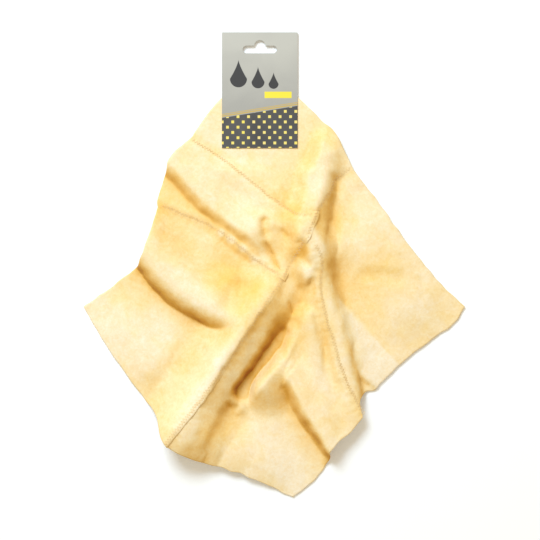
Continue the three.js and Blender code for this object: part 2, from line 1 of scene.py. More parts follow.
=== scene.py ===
from functools import partial
import math
import bpy
import numpy as np
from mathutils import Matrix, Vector


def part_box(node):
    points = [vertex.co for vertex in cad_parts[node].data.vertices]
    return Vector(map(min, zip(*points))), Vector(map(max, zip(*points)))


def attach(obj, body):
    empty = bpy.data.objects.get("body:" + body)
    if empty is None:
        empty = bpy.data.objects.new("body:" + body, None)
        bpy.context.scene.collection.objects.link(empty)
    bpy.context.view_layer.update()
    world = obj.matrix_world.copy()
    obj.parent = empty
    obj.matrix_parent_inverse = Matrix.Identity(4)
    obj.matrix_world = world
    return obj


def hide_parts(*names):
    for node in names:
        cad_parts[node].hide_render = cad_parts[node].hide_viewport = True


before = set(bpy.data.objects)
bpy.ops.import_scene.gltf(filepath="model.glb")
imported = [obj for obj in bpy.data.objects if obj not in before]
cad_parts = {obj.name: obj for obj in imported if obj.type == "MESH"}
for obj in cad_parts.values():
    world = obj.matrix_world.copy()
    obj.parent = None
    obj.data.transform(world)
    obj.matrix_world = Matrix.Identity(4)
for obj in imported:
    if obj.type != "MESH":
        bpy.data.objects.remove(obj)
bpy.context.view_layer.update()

mm = 0.001
print("frame loaded:", len(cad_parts), "nodes")

# the leather's cut, laps and unevenness, in mm
cut = {
    "thickness": 1.2,
    "edgeThickness": 0.12,  # pared down along a lap's upper edge
    "pareWidth": 9.0,
    "openEdge": 0.9,  # less pared at the long seam's lower end
    "openFrom": (0.5, 0.2),  # share of the seam's lower part where that begins, and how soon
    "lap": 6.0,  # one panel lies this far over its neighbour
    "lapRows": 5,  # mesh rows across a lap
    "step": 1.6,  # mesh spacing elsewhere
    "lapGap": 0.06,
    "lapReach": 6.4,  # the upper panel stays raised this far from its edge
    "lapRamp": 16.0,
    "cornerRamp": 5.0,  # shorter where a third panel ends under two others
    "seamLevel": (10.0, 14.0),  # reach and ramp of the leather over the lower threads
    "flatHeight": 0.75,  # middle of the leather over the table
    "seamHeight": 1.85,  # the same along a seam, over the lower thread
    "cardHeight": 1.8,  # the same inside the card
    "cardMargin": 10.0,  # level leather round the card
    "ramp": 14.0,
    "softening": 1.5,  # rounding where a fold meets the table
    "edgeRound": 0.3,
    "wobble": 0.5,  # unevenness of the cut edges
    "wobbleSize": 15.0,
    "joining": 4.0,  # 1 would add ridges where they meet, more keeps the higher one
    "wander": 1.3,  # how far the folds stray from their smooth lines
    "wanderSize": 55.0,
    "lift": 1.9,  # slow unevenness of the lying leather
    "swell": 0.9,
    "swellSize": 95.0,
    "wrinkle": 0.09,  # fine unevenness
    "wrinkleLift": 1.5,  # keeps it over the level of the table
    "wrinkleSize": 12.0,
    "paintedLightFrom": (-0.25, 0.97),  # painted shade: sides that face away from this way, towards the key lamp, get a deeper tone
    "openTo": (-0.55, 0.84),  # painted light: sides that face this way, towards the key lamp, keep less of the painted shade in a deep hollow
    "openSlope": 1.5,  # how soon they count as open
    "openShare": 0.85,
    "openOver": 0.11,  # deep is where more of the sky is hidden
    "pucker": 0.16,  # small waves along the stitching
    "puckerLength": 7.5,
    "puckerReach": 9.0,
    "puckerDrift": 1.5,  # how far they get out of step
    "puckerDriftSize": 30.0,
    "seamTone": (2.0, 5.0),  # reach and ramp of the deeper tone beside a seam
}
# random waves of each kind
seeds = {"wobble": (3, 4), "wander": (31, 32), "swell": 11, "wrinkle": 21, "pucker": 60}
waveForm = {"count": 9, "lengths": (0.7, 1.6), "peak": 1.2}
corners = {
    "top": (-16, 199), "left": (-190.3, -42), "right": (190.3, -42), "bottom": (19, -232),
    "longTop": (79, 95), "longBottom": (-107, -178), "upperEnd": (-81, 128), "leftEnd": (-115, 58),
    "rightEnd": (86, -152), "upperRoot": (44, 52), "rightRoot": (34, 26), "leftRoot": (9, -16),
}
# seams and edges seen from above, each from its first corner to its last
planCurves = {
    "longLower": ("leftRoot", (-19, -55), (-44, -95), (-69, -130), "longBottom"),
    "longMiddle": ("leftRoot", (24, 8), "rightRoot"),
    "longKnot": ("rightRoot", (40, 40), "upperRoot"),
    "longUpper": ("upperRoot", (56, 70), (64, 85), "longTop"),
    "leftSeam": ("leftRoot", (-12, -3), (-34, 15), (-52, 29), (-74, 41), (-94, 49), "leftEnd"),
    "upperSeam": ("upperRoot", (22, 54), (1, 68), (-24, 88), (-54, 111), "upperEnd"),
    "rightSeam": ("rightRoot", (43, 5), (42, -15), (46, -45), (56, -80), (67, -115), "rightEnd"),
    "topLeftEdge": ("upperEnd", (-69, 147), (-52, 167), "top"),
    "topRightEdge": ("longTop", (72, 110), (61, 132), (46, 146), (23, 168), "top"),
    "upperLeftEdge": ("leftEnd", (-116, 64), (-112, 78), (-107, 94), (-103, 107), (-93, 118),
                      "upperEnd"),
    "leftEdge": ("left", (-157, -18), (-136, -1), (-129, 12), (-121, 35), "leftEnd"),
    "lowerLeftEdge": ("longBottom", (-114, -165), (-117, -151), (-139, -120), (-166, -83), "left"),
    "bottomEdge": ("longBottom", (-92, -187), (-70, -196), (-36, -207), (-5, -220), "bottom"),
    "lowerRightEdge": ("rightEnd", (75, -166), (62, -178), (54, -196), (43, -212), "bottom"),
    "rightEdge": ("rightEnd", (84, -134), (93, -126), (101, -125), (107, -118), (126, -99), (158, -74),
                  (180, -58), "right"),
    "upperRightEdge": ("longTop", (106, 60), (126, 32), (146, 5), (166, -18), "right"),
}

# how steeply the forms of a fold fall from the crest, and the sharp share of a roof
foldForms = {"soft": 1, "crease": 2, "roof": 1.4, "plane": 1.15, "ridge": 1.1, "roll": 2.3}
sharpRoof = 0.3


def bothEnds(value):
    return value if isinstance(value, tuple) else (value, value)


def fold(crest, height, left, right, lean=0, fade=0, flat=0, form="soft"):
    # pairs run from the first crest point to the last, left and right are seen along the crest,
    # a crease is sharp at its crest and a roof less so, a plane falls evenly to the left,
    # a ridge falls evenly to the right, and a roll gets steeper there as far as its foot
    return {"crest": crest, "height": bothEnds(height), "left": bothEnds(left), "right": bothEnds(right),
            "lean": bothEnds(lean), "fade": bothEnds(fade), "flat": flat, "form": form}


# ridges run into one another where they meet
ridges = {
    "upperLeftRidge": fold(
        [(-124, 119), (-96, 93), (-71, 68), (-47, 45), (-28, 34), (-14, 18), (-5, 3)],
        (12, 7), 38, (19, 11), lean=(1, 0), fade=(0, 0.25), form="roof"),
    "leftRoll": fold(
        [(-138, 32), (-122, 9), (-110, -5), (-97, -18), (-84, -29), (-72, -36), (-54, -43), (-34, -45),
         (-12, -41)],
        (20, 19), 46, (16.5, 25), lean=(2, 0), fade=(0, 0.2), form="roll"),
    "longRidge": fold(
        [(-122, -196), (-89, -153), (-68, -125), (-51, -96), (-37, -77), (-12, -43), (18, 7)],
        23, (44, 46), (58, 36), lean=2, fade=(0, 0.25), form="ridge"),
    "middleRidge": fold(
        [(40, -26), (31, -52), (20, -72), (8, -90), (-5, -108), (-20, -124), (-33, -137)],
        (9, 16), (30, 44), (28, 16), lean=(0, 3), fade=(0.3, 0.2)),
    "hoodArch": fold(
        [(-30, -132), (-20, -120), (-9, -112), (3, -108), (14, -111), (22, -121)],
        (9, 13), 44, (36, 30), fade=(0.2, 0.3), form="ridge"),
    "bottomHood": fold(
        [(3, -108), (14, -111), (22, -121), (33, -140), (72, -195)],
        (14, 20), 44, (18, 16), lean=(0, 6), fade=(0.12, 0)),
    "hoodRidge": fold(
        [(43, -28), (39, -50), (38, -70), (39, -90), (42, -105), (46, -120), (50, -136), (56, -154),
         (66, -184)],
        (12, 9), 30, (22, 24), fade=(0.15, 0)),
    "rightSeamRidge": fold(
        [(88, -172), (76, -140), (68, -107), (62, -80), (54, -52), (49, -32), (43, -10), (41, 10),
         (33, 30), (33, 50), (38, 72), (41, 92), (46, 112), (58, 141)],
        (12, 14), (24, 17), (13, 30), lean=(2, 0), fade=(0, 0.1), flat=4),
    "rightPleat": fold(
        [(60, -32), (67, -58), (75, -84), (81, -104), (103, -122)],
        (10, 2.2), (12, 46), (10, 2.4), fade=(0.2, 0), form="plane"),
}
# the other folds lie over and between them
folds = {
    "upperLeftValley": fold(
        [(-128, 96), (-108, 74), (-90, 54), (-74, 40), (-54, 26)],
        -5, 16, 18, fade=(0, 0.3)),
    "seamBand": fold([(-66, 39), (-48, 29), (-32, 17), (-16, 3)], 2.4, 7, 9, fade=(0.3, 0.2)),
    "deepHollow": fold(
        [(18, -47), (9, -61), (2, -79), (-6, -90), (-14, -100), (-23, -112), (-29, -122), (-38, -138)],
        (-10, -22), (20, 15), (17, 11), fade=(0.35, 0.15)),
    "tailValley": fold([(-38, -138), (-50, -155), (-66, -182)], (-5, -2), 28, 14, fade=(0.2, 0)),
    "slit": fold([(22, 20), (29, 9), (36, -10), (33, -32)], -2, 9, 6, fade=0.3),
    "gatheredMiddle": fold([(-4, 38), (36, 20)], 9, 52, 52),
    "bottomLift": fold([(-84, -176), (-46, -192), (-24, -202)], (12, 5), 46, 46),
    "knotPit": fold([(-11, 42), (-10, 36), (-9, 31)], -4, 9, 8),
    "knotCrease": fold(
        [(-9, 31), (-5, 20), (0, 8), (7, -9)],
        (-5, -4.5), 4, 9, fade=(0.35, 0.2), form="crease"),
    "crossCrease": fold([(-4, 70), (11, 58), (25, 46)], -1.6, 5, 5, fade=(0.3, 0.2), form="crease"),
    "slantCrease": fold([(6, 82), (17, 67), (27, 53)], -2.2, 10, 10, fade=(0.4, 0.2)),
    "levelCrease": fold([(-26, 62), (-6, 55), (16, 50)], -1.2, 9, 9, fade=(0.4, 0.2)),
    "levelRidge": fold([(0, 39), (12, 39), (24, 35)], 1.6, 9, 9),
    "innerCrease": fold([(7, 37), (11, 32), (16, 25)], -1.2, 5, 5, fade=0.3, form="crease"),
    "upperPocket": fold([(26, 22), (30, 13), (33, 3)], -3, 8, 6),
    "brightPatch": fold([(22, -4), (29, -12)], 2.5, 13, 11),
    "lowerPocket": fold([(36, -16), (36, -28)], -1.5, 6, 5),
    "ridgePit": fold([(33, 106), (37, 100)], -3, 9, 9),
    "flapValley": fold([(-66, -72), (-92, -96), (-120, -126)], -0.8, 18, 20, fade=(0.3, 0)),
    "pocketDimple": fold([(-42, -140), (-36, -141)], -3, 8, 8),
    "pocketCrease": fold([(12, -34), (17, -43), (22, -52)], -2, 4, 4, fade=(0.2, 0.3), form="crease"),
    "hoodValley": fold([(22, -50), (23, -75), (20, -103)], (-3, -2), 11, 11, fade=(0.2, 0.4)),
    "bandCrease": fold(
        [(40, -30), (44, -50), (48, -70), (52, -90), (56, -105), (61, -120), (66, -140)],
        -2.6, 8, 7, fade=(0.2, 0.3)),
    "rightSwell": fold([(92, 20), (130, -34)], 5, 56, 50),
    "rightHollow": fold([(92, -10), (126, -12)], -1.4, 12, 12),
    "rightCrease": fold([(138, -9), (146, -17), (152, -23)], -1.4, 4, 4, fade=0.4, form="crease"),
    "bottomSwell": fold([(-14, -178), (6, -196)], 2, 44, 44),
    "leftSwell": fold([(-146, -62), (-120, -92)], 4, 46, 42),
    "topSwell": fold([(-46, 98), (-26, 84)], 3, 38, 38),
    "ridgeValley": fold(
        [(-50, -54), (-46, -42), (-40, -29), (-28, -10)],
        (-5.5, -4), 16, 17, fade=(0.45, 0.3)),
    "bandValley": fold(
        [(60, 96), (62, 72), (61, 48), (61, 28), (59, 8), (57, -12), (58, -32)],
        (-3, -1.5), 8, 14, fade=(0.1, 0.3)),
}


def mix(pair, share):
    return pair[0] + (pair[1] - pair[0]) * share


def smoothThrough(points, perSpan=24):
    # centripetal spline through the points, as a fine polyline
    pts = [np.array(p, float) for p in points]
    pts = [2 * pts[0] - pts[1]] + pts + [2 * pts[-1] - pts[-2]]
    line = []
    for i in range(1, len(pts) - 2):
        p0, p1, p2, p3 = pts[i - 1:i + 3]
        t1 = np.linalg.norm(p1 - p0) ** 0.5
        t2 = t1 + np.linalg.norm(p2 - p1) ** 0.5
        t3 = t2 + np.linalg.norm(p3 - p2) ** 0.5
        for t in np.linspace(t1, t2, perSpan, endpoint=False):
            a1 = mix((p0, p1), t / t1)
            a2 = mix((p1, p2), (t - t1) / (t2 - t1))
            a3 = mix((p2, p3), (t - t2) / (t3 - t2))
            b1 = mix((a1, a2), t / t2)
            b2 = mix((a2, a3), (t - t1) / (t3 - t1))
            line.append(mix((b1, b2), (t - t1) / (t2 - t1)))
    line.append(pts[-2])
    return np.array(line)


def lengthsAlong(line):
    return np.concatenate([[0], np.cumsum(np.linalg.norm(np.diff(line, axis=0), axis=1))])


def atShares(line, shares):
    along = lengthsAlong(line)
    places = np.asarray(shares) * along[-1]
    return np.stack([np.interp(places, along, line[:, k]) for k in range(line.shape[1])], -1)


def nearestOn(line, xy):
    # distance, side (right is positive), share of the length, direction to the right
    best = np.full(len(xy), np.inf)
    side, share = np.ones(len(xy)), np.zeros(len(xy))
    right = np.zeros((len(xy), 2))
    steps = lengthsAlong(line)
    for i in range(len(line) - 1):
        d = line[i + 1] - line[i]
        length = np.hypot(*d)
        rel = xy - line[i]
        t = np.clip(rel @ d / length ** 2, 0, 1)
        off = rel - t[:, None] * d
        dist = np.hypot(off[:, 0], off[:, 1])
        hit = dist < best
        best[hit] = dist[hit]
        side[hit] = np.where(off[hit, 0] * d[1] - off[hit, 1] * d[0] >= 0, 1, -1)
        share[hit] = (steps[i] + t[hit] * length) / steps[-1]
        right[hit] = (d[1] / length, -d[0] / length)
    return best, side, share, right


def unit(vectors):
    return vectors / np.linalg.norm(vectors, axis=-1, keepdims=True)


def easeOut(t):
    return (1 + np.cos(np.pi * np.clip(t, 0, 1))) / 2


def waves(xy, size, seed):
    # slow random swell, about from -1 to 1
    rng = np.random.default_rng(seed)
    total = np.zeros(len(xy))
    for _ in range(waveForm["count"]):
        angle = rng.uniform(0, 2 * np.pi)
        length = size * rng.uniform(*waveForm["lengths"])
        start = rng.uniform(0, 2 * np.pi)
        total += np.sin(xy @ [np.cos(angle), np.sin(angle)] * 2 * np.pi / length + start)
    return total / math.sqrt(waveForm["count"]) / waveForm["peak"]


def straying(xy, size, seedPair):
    return np.column_stack([waves(xy, size, seed) for seed in seedPair])


curves = {name: smoothThrough([corners[p] if isinstance(p, str) else p for p in points])
          for name, points in planCurves.items()}
longParts = ("longLower", "longMiddle", "longKnot", "longUpper")
seamNames = longParts + ("leftSeam", "upperSeam", "rightSeam")
seamPoints, crestPoints = 41, 33
seamLines = {name: atShares(curves[name], np.linspace(0, 1, seamPoints)) for name in seamNames}
cardLow, cardHigh = (np.array(corner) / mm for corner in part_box("card_front_leaf"))
for each in list(ridges.values()) + list(folds.values()):
    each["line"] = atShares(smoothThrough(each["crest"]), np.linspace(0, 1, crestPoints))


def fromCard(xy):
    middle = (cardLow[0] + cardHigh[0]) / 2
    dx = np.maximum(0, np.abs(xy[:, 0] - middle) - (cardHigh[0] - cardLow[0]) / 2)
    return np.hypot(dx, np.maximum(0, cardLow[1] - xy[:, 1]))


def besideSeam(names, xy, reach, ramp):
    dist = np.min([nearestOn(seamLines[n], xy)[0] for n in names], axis=0)
    return easeOut((dist - reach) / ramp)


def addFold(each, xy, rise, moved):
    reach = max(each["left"] + each["right"]) + each["flat"]
    low, high = each["line"].min(0) - reach, each["line"].max(0) + reach
    near = np.flatnonzero(((xy > low) & (xy < high)).all(1))
    if not len(near):
        return
    dist, side, share, right = nearestOn(each["line"], xy[near])
    width = np.where(side > 0, mix(each["right"], share), mix(each["left"], share))
    t = np.maximum(0, dist - each["flat"]) / width
    shape = easeOut(t)
    form = each["form"]
    power = foldForms[form]
    sharp = np.clip(1 - t, 0, 1) ** power
    if form == "crease":
        shape = sharp
    if form == "roof":
        shape = mix((shape, sharp), sharpRoof)
    if form == "plane":
        shape = np.where(side > 0, shape, sharp)
    if form == "ridge":
        shape = np.where(side > 0, sharp, shape)
    if form == "roll":
        shape = np.where(side > 0, np.clip(1 - t ** power, 0, 1), shape)
    if each["fade"][0]:
        shape = shape * (1 - easeOut(share / each["fade"][0]))
    if each["fade"][1]:
        shape = shape * (1 - easeOut((1 - share) / each["fade"][1]))
    rise[near] += mix(each["height"], share) * shape
    moved[near] += right * (mix(each["lean"], share) * shape)[:, None]


def puckers(xy):
    # small waves along the stitching, highest at the seam
    total = np.zeros(len(xy))
    for k, name in enumerate(seamNames):
        dist, _, share, _ = nearestOn(seamLines[name], xy)
        along = share * lengthsAlong(seamLines[name])[-1]
        drift = waves(xy, cut["puckerDriftSize"], seeds["pucker"] + k)
        phase = 2 * np.pi * along / cut["puckerLength"] + cut["puckerDrift"] * drift
        total += np.sin(phase) * easeOut(dist / cut["puckerReach"])
    return total * cut["pucker"]


def drape(xy):
    # middle of the leather over flat points
    fromMargin = (fromCard(xy) - cut["cardMargin"]) / cut["ramp"]
    away = np.clip(fromMargin, 0, 1)
    moved = xy + straying(xy, cut["wobbleSize"], seeds["wobble"]) * cut["wobble"] * away[:, None]
    bent = xy + straying(xy, cut["wanderSize"], seeds["wander"]) * cut["wander"]
    joined = np.zeros(len(xy))
    for each in ridges.values():
        alone = np.zeros(len(xy))
        addFold(each, bent, alone, moved)
        joined += alone ** cut["joining"]
    rise = joined ** (1 / cut["joining"])
    for each in folds.values():
        addFold(each, bent, rise, moved)
    rise += cut["lift"] + cut["swell"] * waves(xy, cut["swellSize"], seeds["swell"])
    soft = cut["softening"]
    folded = np.where(rise > 2 * soft, rise - soft, np.maximum(0, rise) ** 2 / (4 * soft))
    folded += cut["wrinkle"] * (cut["wrinkleLift"] + waves(xy, cut["wrinkleSize"], seeds["wrinkle"]))
    folded += puckers(xy) + cut["pucker"]
    atSeam = (cut["seamHeight"] - cut["flatHeight"]) * besideSeam(seamNames, xy, *cut["seamLevel"])
    atCard = (cut["cardHeight"] - cut["flatHeight"]) * easeOut(fromMargin)
    return np.column_stack([moved, cut["flatHeight"] + np.maximum(atSeam, atCard) + away * folded])


def spaced(name, first=0, last=0):
    # shares of a curve's length in mesh steps, with the narrow rows of a lap at either end
    length = lengthsAlong(curves[name])[-1]
    count = max(2, round((length - first - last) / cut["step"]))
    places = list(np.linspace(first, length - last, count + 1))
    lapShares = np.linspace(0, 1, cut["lapRows"] + 1)
    if first:
        places = list(lapShares[:-1] * first) + places
    if last:
        places = places + list(length - last + lapShares[1:] * last)
    return np.array(places) / length


def run(name, first=0, last=0):
    return atShares(curves[name], spaced(name, first, last))


def patch(near, far, start, end, rowShares):
    # flat grid: rows from the near line to the far curve, between the start and end curves
    along = lengthsAlong(near)
    u = (along / along[-1])[None, :, None]
    v = rowShares[:, None, None]
    farLine = atShares(curves[far], along / along[-1])[None]
    startLine, endLine = (atShares(curves[name], rowShares)[:, None] for name in (start, end))
    ruled = (1 - v) * near[None] + v * farLine + (1 - u) * startLine + u * endLine
    return ruled - ((1 - u) * (1 - v) * near[:1] + u * (1 - v) * near[-1:]
                    + (1 - u) * v * farLine[:, :1] + u * v * farLine[:, -1:])


lap, rows = cut["lap"], cut["lapRows"]
lowerRun, middleRun = run("longLower"), run("longMiddle", lap)
knotRun, upperRun = run("longKnot", lap, lap), run("longUpper")
upperLeftRun, rightRun = np.vstack([middleRun, knotRun[1:]]), np.vstack([knotRun, upperRun[1:]])
bottomRun = np.vstack([middleRun[::-1], lowerRun[1:]])
leftRows, rightRows = spaced("leftSeam", lap), spaced("rightSeam")
leftGrid = patch(lowerRun[::-1], "leftEdge", "lowerLeftEdge", "leftSeam", leftRows)
upperLeftGrid = patch(upperLeftRun, "upperLeftEdge", "leftSeam", "upperSeam", leftRows)
topGrid = patch(upperRun, "topLeftEdge", "upperSeam", "topRightEdge", leftRows)
bottomGrid = patch(bottomRun, "lowerRightEdge", "rightSeam", "bottomEdge", rightRows)
rightGrid = patch(rightRun, "rightEdge", "rightSeam", "upperRightEdge", rightRows)

# the narrow rows along the long seam, from its bottom end to its top
longStrip = np.hstack([leftGrid[:rows + 1], upperLeftGrid[:rows + 1, 1:], topGrid[:rows + 1, 1:]])
atRightRoot = leftGrid.shape[1] - 1 + len(middleRun) - 1
underLong = longStrip[rows:0:-1]
underRight = np.hstack([rightGrid[:, rows:0:-1], bottomGrid])
panelGrids = {
    "left_panel": np.hstack([leftGrid, upperLeftGrid[:, 1:rows + 1]]),
    "upper_left_panel": upperLeftGrid,
    "top_panel": np.hstack([upperLeftGrid[:, -rows - 1:-1], topGrid]),
    "bottom_panel": np.vstack([underLong[:, :atRightRoot + rows + 1][:, ::-1], underRight]),
    "right_panel": np.vstack([underLong[:, atRightRoot:], rightGrid]),
}
# the seams at which a panel lies on top
raisedBy = {
    "left_panel": [longParts],
    "upper_left_panel": [longParts, ("leftSeam",), ("upperSeam",), ("rightSeam",)],
    "top_panel": [longParts],
    "bottom_panel": [],
    "right_panel": [("rightSeam",)],
}


def raised(name, xy):
    # how far others under a panel raise it
    lift = cut["thickness"] + cut["lapGap"]
    corner = cut["cornerRamp"]
    total = np.zeros(len(xy))
    for names in raisedBy[name]:
        share = besideSeam(names, xy, cut["lapReach"], cut["lapRamp"])
        # the panel over three others comes down sooner, so that no gap is left at the corner
        if name == "upper_left_panel" and names == ("leftSeam",):
            share = besideSeam(names, xy, cut["lapReach"], corner)
        if name == "upper_left_panel" and names == ("rightSeam",):
            dist, side = nearestOn(seamLines["rightSeam"], xy)[:2]
            share = np.where(side > 0, easeOut(dist / corner), share)
        total += lift * share
    return total


def halfThickness(name, xy):
    # pared towards the seams where the panel lies on top
    full, thin = cut["thickness"], cut["edgeThickness"]
    if not raisedBy[name]:
        return np.full(len(xy), full / 2)
    seams = [n for names in raisedBy[name] for n in names]
    if name == "left_panel":
        start, soon = cut["openFrom"]
        along = nearestOn(seamLines["longLower"], xy)[2]
        thin = thin + (cut["openEdge"] - thin) * (1 - easeOut((along - start) / soon))
    return (full - (full - thin) * besideSeam(seams, xy, 0, cut["pareWidth"])) / 2


# grid for the painted shade in the hollows, and how far round each point looks
skyGrid = {
    "step": 2.0,
    "low": (-215.0, -255.0),
    "size": (215, 255),
    "rings": (1, 2, 3, 4, 6, 8, 11, 15, 19, 24),
    "turns": 16,
    "soften": 2,
}


def hollowField():
    # share of the sky that the folds hide, over a flat grid
    step, low, size = skyGrid["step"], skyGrid["low"], skyGrid["size"]
    xs = low[0] + step * np.arange(size[0])
    ys = low[1] + step * np.arange(size[1])
    xy = np.stack(np.meshgrid(xs, ys, indexing="ij"), -1).reshape(-1, 2)
    height = drape(xy)[:, 2].reshape(size)
    rings, turns = skyGrid["rings"], skyGrid["turns"]
    reach = max(rings)
    padded = np.pad(height, reach, mode="edge")
    hidden = np.zeros(size)
    for k in range(turns):
        angle = 2 * np.pi * k / turns
        steepest = np.zeros(size)
        for r in rings:
            i, j = round(r * np.cos(angle)), round(r * np.sin(angle))
            there = padded[reach + i:reach + i + size[0], reach + j:reach + j + size[1]]
            steepest = np.maximum(steepest, (there - height) / (step * np.hypot(i, j)))
        hidden += steepest ** 2 / (1 + steepest ** 2) / turns
    for _ in range(skyGrid["soften"]):
        wide = np.pad(hidden, 1, mode="edge")
        around = wide[:-2, 1:-1] + wide[2:, 1:-1] + wide[1:-1, :-2] + wide[1:-1, 2:]
        hidden = (around + 2 * hidden) / 6
    return hidden


def sampleField(field, xy):
    step, low = skyGrid["step"], skyGrid["low"]
    g = (xy - low) / step
    i = np.clip(np.floor(g).astype(int), 0, np.array(field.shape) - 2)
    f = np.clip(g - i, 0, 1)
    low = mix((field[i[:, 0], i[:, 1]], field[i[:, 0] + 1, i[:, 1]]), f[:, 0])
    high = mix((field[i[:, 0], i[:, 1] + 1], field[i[:, 0] + 1, i[:, 1] + 1]), f[:, 0])
    return mix((low, high), f[:, 1])


hidden = hollowField()
print("deepest hollow hides", round(float(hidden.max()), 2), "of the sky")


def gridFaces(shape, offset, flip):
    j, i = np.meshgrid(np.arange(shape[0] - 1), np.arange(shape[1] - 1), indexing="ij")
    a = (j * shape[1] + i).ravel() + offset
    quads = np.column_stack([a, a + 1, a + shape[1] + 1, a + shape[1]])
    return quads[:, ::-1] if flip else quads


def addObject(name, data):
    made = bpy.data.objects.new(name, data)
    bpy.context.scene.collection.objects.link(made)
    return made


def newPiece(name, points, faces, values=None, flatFaces=0):
    # the last flatFaces faces are shaded flat, so that they leave the others' shading alone
    mesh = bpy.data.meshes.new(name)
    mesh.from_pydata(np.asarray(points).tolist(), [], [tuple(map(int, face)) for face in faces])
    mesh.polygons.foreach_set("use_smooth", [i < len(faces) - flatFaces for i in range(len(faces))])
    for key, data in (values or {}).items():
        mesh.attributes.new(key, "FLOAT", "POINT").data.foreach_set("value", np.asarray(data, np.float32))
    mesh.update()
    return addObject(name, mesh)


# how yellow each skin is, and softer patches on them: x, y, radius and change
skinTones = {
    "left_panel": 0.5,
    "upper_left_panel": 0.52,
    "top_panel": 0.48,
    "bottom_panel": 0.45,
    "right_panel": 0.75,
}
# many deeper patches are painted shade in hollows and on shaded sides, and many paler ones are painted
# light on lit sides, over the skin's own uneven tone
toneLightAndShadePatches = [
    (-108, 74, 34, 0.45), (40, 132, 34, 0.7), (24, -84, 32, 0.5), (-52, -184, 34, 0.25),
    (-36, -14, 36, 0.6), (-47, -18, 18, 0.6), (14, 22, 26, 0.5), (-10, -36, 28, 0.8),
    (106, -11, 18, 0.4), (21, -52, 14, 0.9), (40, 8, 14, -0.6), (53, -42, 10, -0.5),
    (65, -78, 11, -0.5), (8, 51, 9, 0.5), (29, 13, 9, 1.3), (-82, -118, 22, -0.9),
    (-60, -88, 16, -0.7), (-38, -150, 16, 0.7), (-44, -167, 16, 0.4), (-53, 32, 5, -1.8),
    (-43, 25, 5, -1.8), (-31, 16, 5, -1.8), (-20, 6, 5, -1.8), (14, -205, 26, -0.8),
    (-60, -168, 18, 0.5), (34, -132, 16, 0.5), (67, -95, 10, -0.5), (-49, -10, 18, 0.5),
    (-67, 100, 26, 0.35), (128, -17, 20, 0.5), (-27, -57, 12, 0.5), (2, -152, 24, -0.5),
    (-98, -142, 20, -0.8), (150, -45, 40, -0.5), (10, -185, 50, -0.4), (-140, -60, 40, -0.3),
    (88, 26, 34, -0.3),
]
patchSpread = 1.4  # a patch fades out this many radii from its middle
# the pale facet of the right panel, between the pleat and a line to the right edge
paleFacet = {"from": (60, -28), "to": (124, -101), "pleatTo": (84, -114), "change": -1.6, "soft": 2.0}


# the skin's yellowness, with the painted shade and painted light of the patches
def yellowTone(name, xy):
    tone = np.full(len(xy), skinTones[name])
    for x, y, radius, change in toneLightAndShadePatches:
        tone += change * easeOut(np.hypot(*(xy - (x, y)).T) / radius / patchSpread)
    if name == "right_panel":
        share = np.full(len(xy), paleFacet["change"])
        for key, side in (("to", -1), ("pleatTo", 1)):
            start = np.array(paleFacet["from"], float)
            along = paleFacet[key] - start
            beyond = (xy - start) @ [-along[1], along[0]] / np.linalg.norm(along)
            share *= np.clip(0.5 + side * beyond / paleFacet["soft"] / 2, 0, 1)
        tone += share
    return tone


def makePanel(name):
    grid = panelGrids[name]
    shape = grid.shape[:2]
    flat = grid.reshape(-1, 2)
    place = drape(flat).reshape(shape + (3,))
    across = np.cross(np.gradient(place, axis=1), np.gradient(place, axis=0))
    turned = across[..., 2].mean() < 0
    normal = unit(across) * (-1 if turned else 1)
    place = place + normal * raised(name, flat).reshape(shape)[..., None]
    half = halfThickness(name, flat).reshape(shape)[..., None]
    upper = (place + normal * (2 * half - cut["thickness"] / 2)).reshape(-1, 3)
    lower = (place - normal * cut["thickness"] / 2).reshape(-1, 3)
    count = len(flat)
    index = np.arange(count).reshape(shape)
    rim = np.concatenate([index[0, :-1], index[:-1, -1], index[-1, :0:-1], index[:0:-1, 0]])
    inner = np.clip(rim // shape[1], 1, shape[0] - 2) * shape[1] + np.clip(rim % shape[1], 1, shape[1] - 2)
    middle = (upper + lower) / 2
    edge = middle[rim] + unit(middle[rim] - middle[inner]) * cut["edgeRound"]
    after = np.roll(rim, -1)
    outer = 2 * count + np.arange(len(rim))
    outerAfter = np.roll(outer, -1)
    walls = np.vstack([np.column_stack([after, rim, outer, outerAfter]),
                       np.column_stack([outerAfter, outer, rim + count, after + count])])
    faces = np.vstack([gridFaces(shape, 0, turned), gridFaces(shape, count, not turned),
                       walls[:, ::-1] if turned else walls])
    ids = np.concatenate([np.arange(count), np.arange(count), rim])
    # painted shade from the share of the sky that the folds hide, less painted light on sides that face the
    # key lamp
    covered = sampleField(hidden, flat)
    slope = normal.reshape(-1, 3)[:, :2]
    openness = np.clip(cut["openSlope"] * slope @ cut["openTo"], 0, 1)
    lit = cut["openShare"] * openness * np.maximum(0, covered - cut["openOver"])
    values = {
        "hollow": (covered - lit)[ids],
        # painted shade on sides that face away from the key lamp
        "paintedSlopeShade": np.clip(-slope @ cut["paintedLightFrom"], 0, 1)[ids],
        "yellow": yellowTone(name, flat)[ids],
        "stitching": besideSeam(seamNames, flat, *cut["seamTone"])[ids],
    }
    piece = newPiece("leather_" + name, np.vstack([upper, lower, edge]) * mm, faces, values, len(walls))
    area = np.linalg.norm(across, axis=2)
    area[[0, -1]] /= 2
    area[:, [0, -1]] /= 2
    return piece, area.sum() * mm ** 2


panels, panelAreas = {}, {}
for name in panelGrids:
    panels[name], panelAreas[name] = makePanel(name)
print("leather:", sum(len(p.data.polygons) for p in panels.values()), "faces")

# the leather's flat area as it was cut, in square m
print("leather's flat area:", round(sum(panelAreas.values()), 4), "square m")

